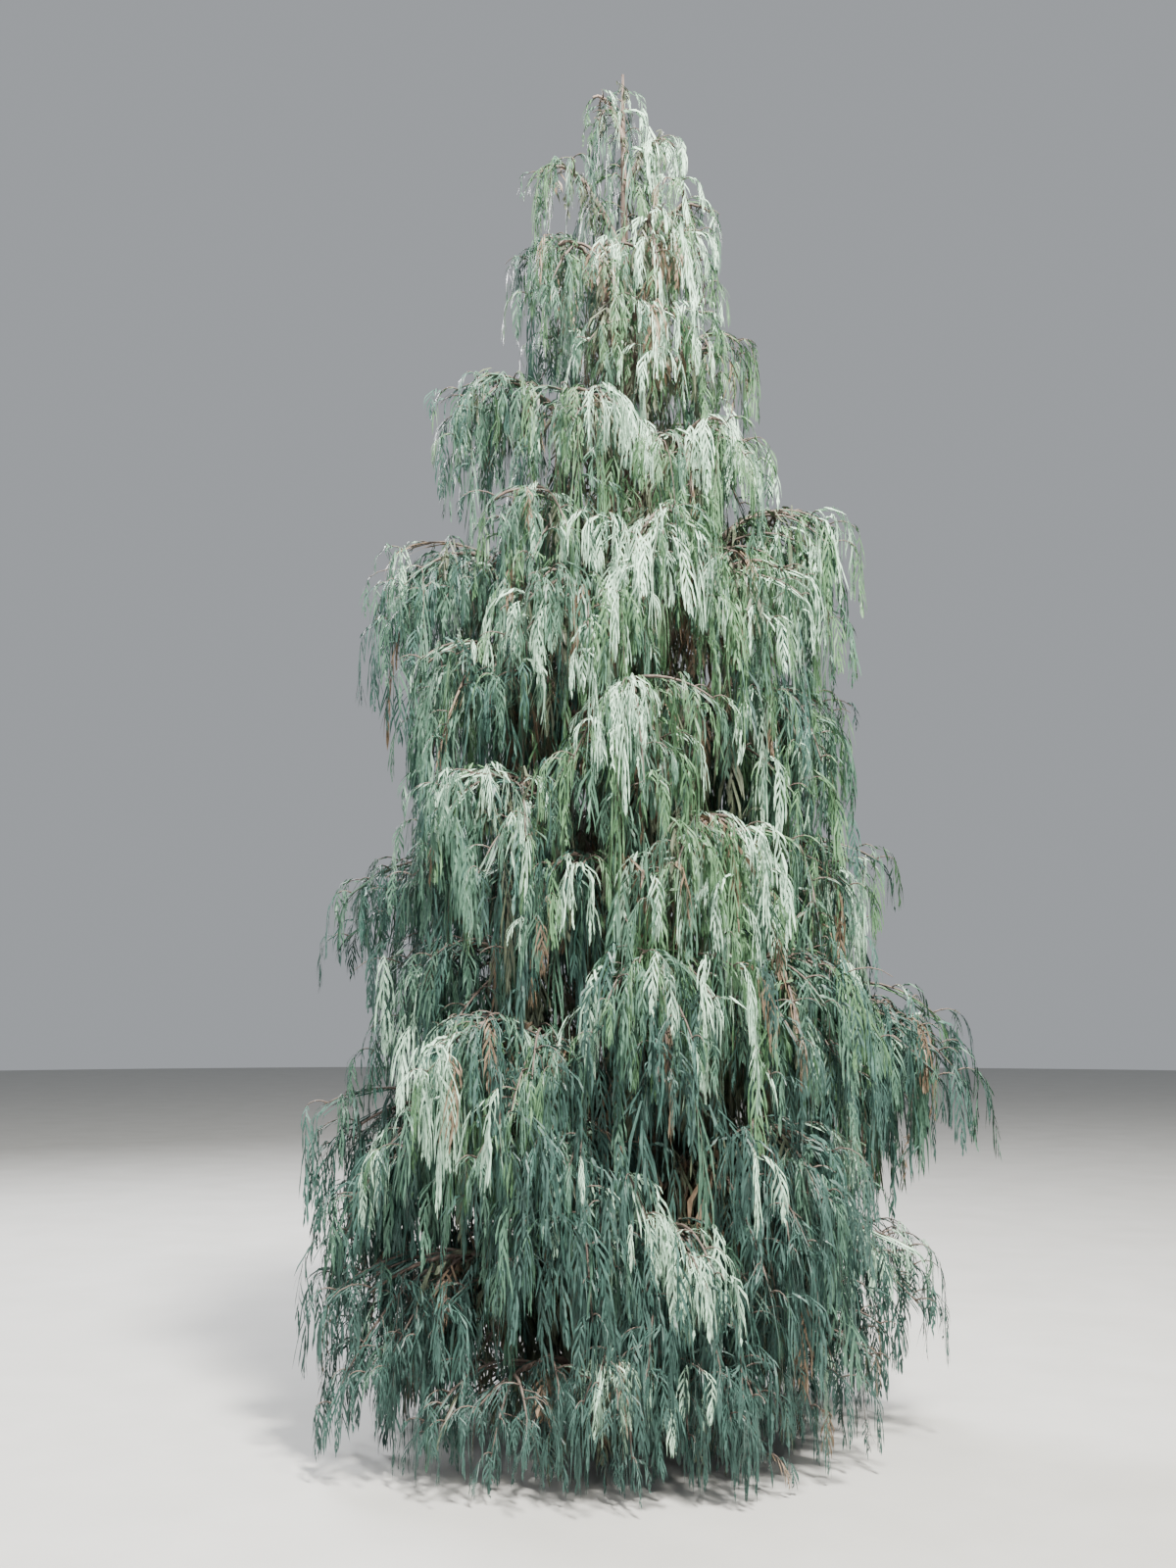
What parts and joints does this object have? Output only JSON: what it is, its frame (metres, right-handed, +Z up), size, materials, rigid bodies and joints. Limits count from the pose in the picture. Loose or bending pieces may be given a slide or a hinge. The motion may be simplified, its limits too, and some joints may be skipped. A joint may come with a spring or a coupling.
{
  "type": "kashmir cypress",
  "caption": "Weeping evergreen conifer with one upright trunk, arching boughs and long hanging sprays of blue-green foliage down to the ground.",
  "frame": {"origin": "middle of the flat cut under the trunk, at ground level", "axes": "+Z up along the trunk to the leader; -Y is the side that faces the camera in the picture, +X is to its right"},
  "size_m": [2.6662, 2.2332, 5.5],
  "materials": {
    "trunk_bark": "rough fibrous bark",
    "bough_bark": "thin scaly bark",
    "foliage": "matt scale leaves"
  },
  "bodies": {
    "root": {"bough_12_left": "bough_bark", "bough_18_right": "bough_bark", "bough_20_left": "bough_bark", "bough_32_left": "bough_bark", "bough_40_right": "bough_bark", "bough_44_front": "bough_bark", "foliage_01_front_left": "foliage", "foliage_02_right": "foliage", "foliage_03_left": "foliage", "foliage_04_right": "foliage", "foliage_05_left": "foliage", "foliage_06_front_left": "foliage", "foliage_07_front_right": "foliage", "foliage_08_back": "foliage", "foliage_09_back_left": "foliage", "foliage_10_right": "foliage", "foliage_11_front": "foliage", "foliage_12_left": "foliage", "foliage_13_back_right": "foliage", "foliage_14_front_left": "foliage", "foliage_15_front_right": "foliage", "foliage_16_back": "foliage", "foliage_17_front_left": "foliage", "foliage_18_right": "foliage", "foliage_19_front": "foliage", "foliage_20_left": "foliage", "foliage_21_front_right": "foliage", "foliage_22_back_left": "foliage", "foliage_23_front_left": "foliage", "foliage_24_back_right": "foliage", "foliage_25_left": "foliage", "foliage_26_right": "foliage", "foliage_27_front": "foliage", "foliage_28_front_left": "foliage", "foliage_29_back": "foliage", "foliage_30_front_right": "foliage", "foliage_31_right": "foliage", "foliage_32_left": "foliage", "foliage_33_front_left": "foliage", "foliage_34_left": "foliage", "foliage_35_front_right": "foliage", "foliage_36_back_right": "foliage", "foliage_37_front": "foliage", "foliage_38_back_left": "foliage", "foliage_39_front_left": "foliage", "foliage_40_right": "foliage", "foliage_41_left": "foliage", "foliage_42_front_right": "foliage", "foliage_43_back": "foliage", "foliage_44_front": "foliage", "foliage_45_front": "foliage", "foliage_46_right": "foliage", "foliage_47_front_left": "foliage", "foliage_48_back_right": "foliage", "foliage_49_back_left": "foliage", "foliage_50_front": "foliage", "foliage_51_front_left": "foliage", "foliage_52_front_right": "foliage", "foliage_53_right": "foliage", "trunk": "trunk_bark"}
  },
  "joints": []
}
